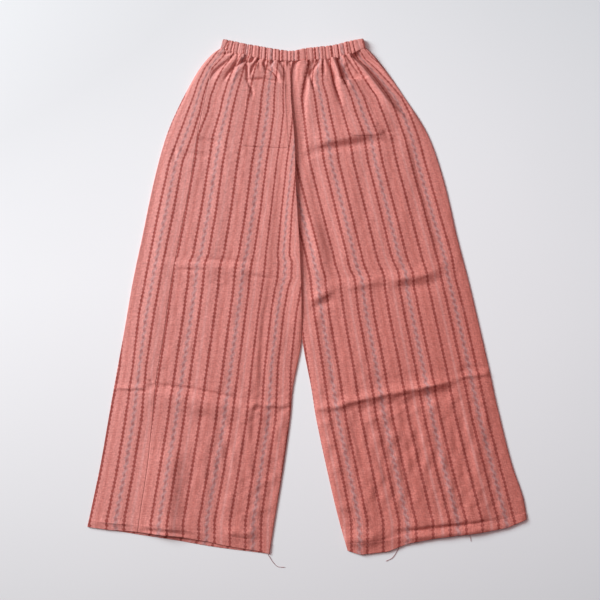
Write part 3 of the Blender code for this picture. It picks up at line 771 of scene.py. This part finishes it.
def stitches(name, path, pitch, length, finish):
    """Short stitches with gaps between them, along a path of points."""
    run = np.concatenate([[0], np.cumsum(np.linalg.norm(np.diff(path, axis=0), axis=1))])
    middles = np.arange(pitch / 2, run[-1], pitch)
    spots, ahead = (
        np.stack([np.interp(middles + step, run, path[:, axis]) for axis in range(3)], -1)
        for step in (0, pitch / 4)
    )
    forward = ahead - spots
    forward /= np.maximum(np.linalg.norm(forward, axis=1, keepdims=True), 1e-9)
    points, faces = [], []
    for spot, way in zip(spots, forward):
        line = spot + STITCH_RINGS[:, None] * length * way
        beside, upward = (np.tile(side, (len(line), 1)) for side in ((-way[1], way[0], 0), (0, 0, 1)))
        corners, loops = tube(line, STITCH_RADII, beside, upward)
        faces.extend([i + len(points) * len(corners) for i in loop] for loop in loops)
        points.append(corners)
    return piece(name, np.concatenate(points), faces, finish)


SEAM_INSET = 0.012  # from a pocket's sides to its stitches, as a share of a back
SEAM_INSET_ROWS = 0.03  # the same from its top and bottom
LOOSE_RADIUS = 0.0004
LOOSE_THREADS = {  # their points, in millimetres
    "left": ((-74, -500, 1.0), (-64, -515, 0.6), (-55, -523, 0.5), (-42, -524, 0.5)),
    "middle": ((177, -478, 1.5), (169, -493, 0.6), (159, -507, 0.5), (147, -513, 0.5)),
    "right": ((303, -458, 1.5), (306, -469, 0.6), (307, -477, 0.5)),
}


def on_back(side, across, row, above):
    """Points above the upper side of a back."""
    return lay_on_back(side, row, across, wall_over(row) + above, 0)[1]


def thread(name, points, finish):
    """A loose end of thread."""
    line = curve(points, 6) * MM
    forward = np.gradient(line, axis=0)
    forward /= np.linalg.norm(forward, axis=1, keepdims=True)
    beside = np.cross([0, 0, 1.0], forward)
    beside /= np.linalg.norm(beside, axis=1, keepdims=True)
    return piece(name, *tube(line, LOOSE_RADIUS, beside, np.cross(forward, beside)), finish)


def hem_seam(side):
    across = np.linspace(0.01, 0.99, 240)
    return on_back(side, across, 0 * across + HEM_STITCH + 0.02, SEWN_ABOVE)


def pocket_seam(pocket):
    """Down one side of a pocket, along its bottom and up the other side."""
    first, last = pocket.first + SEAM_INSET, pocket.last - SEAM_INSET
    top, bottom = pocket.top + SEAM_INSET_ROWS, pocket.bottom - SEAM_INSET_ROWS
    part = np.linspace(0, 1, 60)
    run = np.concatenate([part, part + 1, part + 2])
    across = np.interp(run, range(4), (first, first, last, last))
    row = np.interp(run, range(4), (top, bottom, bottom, top))
    return on_back(pocket.side, across, row, GAP / 2 + POCKET_WALL + SEWN_ABOVE)


# ---- Finishes ----


def operator(operation, reflected=False):
    """A method that adds a Math node. Its two values are swapped where it is reflected."""

    def method(self, *others):
        values = (*others, self) if reflected else (self, *others)
        return self.finish.node("ShaderNodeMath", {"operation": operation}, dict(enumerate(values)))

    return method


class Field:
    """A value over a surface. Arithmetic on it adds Math nodes to its finish."""

    def __init__(self, finish, socket):
        self.finish, self.socket = finish, socket

    __add__ = __radd__ = operator("ADD")
    __sub__ = operator("SUBTRACT")
    __rsub__ = operator("SUBTRACT", reflected=True)
    __mul__ = __rmul__ = operator("MULTIPLY")
    __truediv__ = operator("DIVIDE")
    __mod__ = operator("FLOORED_MODULO")
    __abs__ = operator("ABSOLUTE")
    minimum = operator("MINIMUM")
    maximum = operator("MAXIMUM")
    sine = operator("SINE")
    root = operator("SQRT")

    def below(self, edge, softness):
        """1 where the value is under an edge, falling softly to 0 over it."""
        ends = {"From Min": -softness, "From Max": softness, "To Min": 1.0, "To Max": 0.0}
        settings = {"interpolation_type": "SMOOTHSTEP"}
        return self.finish.node("ShaderNodeMapRange", settings, {"Value": self - edge, **ends})


class Finish:
    """A material and its nodes."""

    def __init__(self, name, constants):
        self.material = bpy.data.materials.new(name)
        self.material.use_nodes = True
        self.nodes = self.material.node_tree.nodes
        self.links = self.material.node_tree.links
        self.shader = self.nodes["Principled BSDF"]
        for socket, value in constants.items():
            self.shader.inputs[socket].default_value = value

    def node(self, kind, settings, inputs, output=0):
        """Adds a node, with its settings and the values or links of its sockets."""
        made = self.nodes.new(kind)
        for name, value in settings.items():
            setattr(made, name, value)
        for key, value in inputs.items():
            self.feed(made.inputs[key], value)
        return Field(self, made.outputs[output])

    def feed(self, socket, value):
        if isinstance(value, Field):
            self.links.new(value.socket, socket)
        else:
            socket.default_value = value

    def mix(self, share, low, high, blend="MIX"):
        """A colour between two others, or the first multiplied by the second."""
        low, high = (value if isinstance(value, Field) else (*value, 1) for value in (low, high))
        settings = {"data_type": "RGBA", "blend_type": blend}
        return self.node("ShaderNodeMix", settings, {0: share, 6: low, 7: high}, 2)

    def tint(self, colour, factors):
        return self.mix(1.0, colour, factors, "MULTIPLY")

    def noise(self, place, scale, detail=2.0):
        return self.node("ShaderNodeTexNoise", {}, {"Vector": place, "Scale": scale, "Detail": detail})

    def at(self, x, y, z=0.0):
        return self.node("ShaderNodeCombineXYZ", {}, {0: x, 1: y, 2: z})

    def place(self):
        """Where a point of the surface lies on its object."""
        return self.node("ShaderNodeTexCoord", {}, {}, "Object")

    def split(self, place):
        """A place's x and y."""
        return (self.node("ShaderNodeSeparateXYZ", {}, {0: place}, axis) for axis in (0, 1))

    def surface(self, colour, **bump):
        """Sets its colour, and its bump where it has one."""
        self.feed(self.shader.inputs["Base Color"], colour)
        if bump:
            self.feed(self.shader.inputs["Normal"], self.node("ShaderNodeBump", {}, bump))


GROUND = (0.602, 0.178, 0.147)
PAINTED_SHEEN_GROUND = (0.682, 0.264, 0.238)  # the ground where painted sheen pales it: a broad painted highlight towards the upper left
DARK_THREAD = (0.325, 0.066, 0.055)
GREY_THREAD = (0.5, 0.25, 0.245)
MAUVE_THREAD = (0.33, 0.095, 0.088)
PALE_THREAD = (0.69, 0.3, 0.275)
FAINT_THREAD = (0.45, 0.112, 0.088)
FIBRE = (0.76, 0.43, 0.4)


# Dark stripes have slanting teeth on both sides.
DARK_HALF = 0.0012  # half-width of a dark stripe between two teeth
TOOTH = 0.0023  # how far its teeth reach past that
TOOTH_PITCH = 0.0079
TOOTH_SLANT = 0.3
DARK_SOFTNESS = 0.0008

# A chain has oval links inside a wavy outline.
LINK_PITCH = 0.0138
LINK_HALF = 0.0022
LINK_HALF_LENGTH = 0.0038
LINK_SOFTNESS = 0.5
LINK_COVER = 0.7
SWAY = 0.0012  # how far the outline waves to each side
SWAY_LENGTH = 0.0022
FLANK_AWAY = 0.0058  # from the middle of a chain to the pale line on each side
DASH_LENGTH = 0.0046
STRAY = 0.006  # how far the teeth and links stray along the cloth
ROUGH = 0.004  # how far the teeth are uneven besides

# The fine lines: their half-width, how softly they end, and how strongly they cover the ground.
Line = namedtuple("Line", "half softness cover")
OUTLINE, FLANK = rows_of(Line, (0.0032, 0.0014, 0.85), (0.0014, 0.001, 0.35))
FAINT, PALE = rows_of(Line, (0.003, 0.0026, 0.45), (0.0024, 0.002, 0.6))

# The yarn's unevenness: how fine it is across and along the cloth, and how much it lightens it.
Grain = namedtuple("Grain", "across along detail tone", defaults=(0,))
WANDER, JITTER = rows_of(Grain, (8, 30, 1), (220, 170, 1))
SLUB, YARN, FLECK = rows_of(Grain, (110, 420, 2, 0.36), (480, 45, 2, 0.34), (520, 520, 1, 0.34))
DYE, MOTTLE = rows_of(Grain, (16, 9, 3, 0.14), (260, 190, 1, 0.54))
TONE = 0.14  # the part of the cloth's tone that is even
WEAVE = 0.0011  # from one thread of the weave to the next


def striped_cotton(name):
    """Woven cotton: dark toothed stripes, and between them in turn a chain of grey and mauve, a faint
    dashed line and a pale line."""
    finish = Finish(name, {"Roughness": 0.7, "Specular IOR Level": 0.1})
    cloth = finish.node("ShaderNodeAttribute", {"attribute_name": "cloth"}, {}, "Vector")
    across, along = finish.split(cloth)

    def uneven(grain):
        return finish.noise(finish.at(across * grain.across, along * grain.along), 1.0, grain.detail)

    def woven(distance, line):
        return abs(distance).below(line.half, line.softness)

    wander = uneven(WANDER) - 0.5
    jitter = uneven(JITTER) - 0.5
    count = across / STRIPE_PITCH
    part = count % 1.0
    turn = (count - part + 0.25) % 3.0  # 0 chain, 1 faint line, 2 pale line
    chain_gap, faint_gap, pale_gap = (abs(turn - kind - 0.25).below(0.5, 0.01) for kind in range(3))

    from_dark = part.minimum(1.0 - part) * STRIPE_PITCH
    slant = ((part + 0.5) % 1.0 - 0.5) * (STRIPE_PITCH * TOOTH_SLANT)
    tooth = abs(((along + slant + wander * STRAY + jitter * ROUGH) / TOOTH_PITCH) % 1.0 - 0.5) * 2.0
    dark = from_dark.below(DARK_HALF + TOOTH * tooth, DARK_SOFTNESS)

    from_chain = (part - 0.5) * STRIPE_PITCH
    from_link = (((along + wander * STRAY) / LINK_PITCH) % 1.0 - 0.5) * LINK_PITCH
    wide, long = from_chain / LINK_HALF, from_link / LINK_HALF_LENGTH
    link = (wide * wide + long * long).root().below(1.0 + 1.2 * wander, LINK_SOFTNESS) * chain_gap
    outline = woven(from_chain + SWAY * (from_link / SWAY_LENGTH).sine(), OUTLINE) * chain_gap
    flank = woven(abs(from_chain) - FLANK_AWAY, FLANK) * chain_gap
    faint = woven((part - 0.55) * STRIPE_PITCH, FAINT) * faint_gap
    dashes = 0.8 + 0.2 * (along / DASH_LENGTH * math.tau).sine()
    pale = woven((part - 0.56) * STRIPE_PITCH, PALE) * pale_gap

    # Painted sheen: the ground pales towards the upper left, standing in for the light's broad reflection
    # there.
    x, y = finish.split(finish.place())
    painted_sheen = (0.45 - x * 1.1 + y * 0.75).maximum(0.0).minimum(1.0)
    colour = finish.mix(painted_sheen, GROUND, PAINTED_SHEEN_GROUND)
    colour = finish.mix(flank * FLANK.cover, colour, PALE_THREAD)
    colour = finish.mix(pale * PALE.cover, colour, PALE_THREAD)
    colour = finish.mix(faint * dashes * FAINT.cover, colour, FAINT_THREAD)
    colour = finish.mix(outline * OUTLINE.cover, colour, GREY_THREAD)
    colour = finish.mix(link * LINK_COVER, colour, MAUVE_THREAD)
    colour = finish.mix(dark, colour, DARK_THREAD)

    grains = SLUB, YARN, FLECK, DYE, MOTTLE
    fields = [uneven(grain) for grain in grains]
    slub, yarn, fleck = fields[:3]
    colour = finish.mix((slub + yarn + fleck - 1.5) * 0.4, colour, FIBRE)
    tone = sum((grain.tone * field for grain, field in zip(grains, fields)), TONE)
    colour = finish.tint(colour, finish.at(tone, tone, tone))

    weave = (across / WEAVE * math.tau).sine() * (along / WEAVE * math.tau).sine()
    height = weave * 0.35 + slub + yarn - dark * 0.6
    finish.surface(colour, Height=height, Distance=0.0002, Strength=0.6)
    return finish.material


def thread_finish(name, colour):
    """Twisted sewing thread."""
    finish = Finish(name, {"Roughness": 0.7, "Sheen Weight": 0.2})
    fleck = finish.noise(finish.place(), 900.0)
    shade = 0.8 + 0.4 * fleck
    colour = finish.tint(colour, finish.at(shade, shade, shade))
    finish.surface(colour, Height=fleck, Distance=0.0001, Strength=0.5)
    return finish.material


PAPER = 0.85  # how pale the floor is
PAPER_RANGE = 0.72, 0.92
PAPER_GREEN = 0.982, 0.05  # its green against its red, and how that grows in a metre to the right: a painted tint against the window's cool light
PAPER_BLUE = 1.005, 0.06


def floor_finish():
    """Pale paper with painted shade: darker to the left, towards both ends and in the upper left corner,
    standing in for how the studio's light falls, and painted less green and blue to the left against the
    window's cool light.
    """
    finish = Finish("pale_paper_painted_shade", {"Roughness": 0.85})
    place = finish.place()
    x, y = finish.split(place)
    # Painted shade: darker to the left and towards both ends as the light falls off, and darker in the upper
    # left corner to hold down the window's pool of light.
    painted_corner_shade = (0.0 - x).maximum(0.0) * y.maximum(0.0)
    pale = PAPER + 0.02 * finish.noise(place, 3.0) + x * 0.085 - y * y * 0.20 - painted_corner_shade * 0.38
    pale = pale.maximum(PAPER_RANGE[0]).minimum(PAPER_RANGE[1])
    green, blue = (pale * (middle + x * change) for middle, change in (PAPER_GREEN, PAPER_BLUE))
    finish.surface(finish.at(pale, green, blue))
    return finish.material


# ---- Scene ----

CAMERA_TARGET = (-0.0135, -0.022, 0.0)
CAMERA_DISTANCE = 1.61
CAMERA_ELEVATION = math.radians(84)
LENS, SENSOR = 50, 36

Light = namedtuple("Light", "name place target size power colour")
LIGHTS = rows_of(
    Light,
    ("window", (-3.52, 1.75, 2.35), (0, 0, 0), 2.2, 318, (0.86, 1.0, 1.02)),
    ("ceiling", (0.08, 0.03, 1.4), (0.08, 0.03, 0), 0.6, 4, (1.0, 0.68, 0.66)),
)
GLOW = {"Color": (1.0, 0.66, 0.68, 1), "Strength": 0.14}  # what the room and the folds throw back
FLOOR_HALF = 4.0
FLOOR_Z = -0.0002


def make_camera():
    camera = show("camera", bpy.data.cameras.new("camera"))
    camera.data.lens, camera.data.sensor_width = LENS, SENSOR
    back, up = CAMERA_DISTANCE * math.cos(CAMERA_ELEVATION), CAMERA_DISTANCE * math.sin(CAMERA_ELEVATION)
    camera.location = np.add(CAMERA_TARGET, (0, -back, up))
    camera.rotation_euler = (math.pi / 2 - CAMERA_ELEVATION, 0, 0)
    bpy.context.scene.camera = camera


def make_light(light):
    lamp = bpy.data.lights.new(light.name, "AREA")
    lamp.size, lamp.energy, lamp.color = light.size, light.power, light.colour
    x, y, z = np.subtract(light.place, light.target)
    made = show(light.name, lamp)
    made.location = light.place
    made.rotation_euler = (0, math.atan2(math.hypot(x, y), z), math.atan2(y, x))


def make_studio():
    world = bpy.data.worlds.new("studio")
    bpy.context.scene.world = world
    world.use_nodes = True
    for socket, value in GLOW.items():
        world.node_tree.nodes["Background"].inputs[socket].default_value = value
    for light in LIGHTS:
        make_light(light)
    bpy.context.scene.view_settings.view_transform = "Standard"
    mesh = bpy.data.meshes.new("floor")
    corners = [(x * FLOOR_HALF, y * FLOOR_HALF, FLOOR_Z) for x, y in ((-1, -1), (1, -1), (1, 1), (-1, 1))]
    mesh.from_pydata(corners, [], [(0, 1, 2, 3)])
    mesh.materials.append(floor_finish())
    show("floor", mesh)


make_camera()
make_studio()

cotton = {name: striped_cotton(f"striped_cotton_{name}") for name in ("back", "front", "pocket")}
casing = striped_cotton("gathered_casing")
sewing = thread_finish("salmon_thread", (0.52, 0.16, 0.14))
tail = thread_finish("loose_thread", (0.30, 0.10, 0.11))

sides = ("left", "right")
backs = {side: make_back(side, cotton["back"]) for side in sides}
fronts = {"left": make_front_left(cotton["front"]), "right": make_front_right(cotton["front"])}
pockets = {pocket.side: make_pocket(pocket, cotton["pocket"]) for pocket in POCKETS}
waistband = make_waistband(casing)
hem_threads = {
    side: stitches(f"hem_{side}_stitches", hem_seam(side), 0.0032, 0.0024, sewing) for side in sides
}
pocket_threads = {
    pocket.side: stitches(f"pocket_{pocket.side}_stitches", pocket_seam(pocket), 0.0030, 0.0022, sewing)
    for pocket in POCKETS
}
tails = [thread(f"loose_thread_{name}", points, tail) for name, points in LOOSE_THREADS.items()]

panels = {"back": backs, "front": fronts, "pocket": pockets}
for side in sides:
    for node, made in panels.items():
        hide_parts(f"{node}_{side}")
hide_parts("waistband")
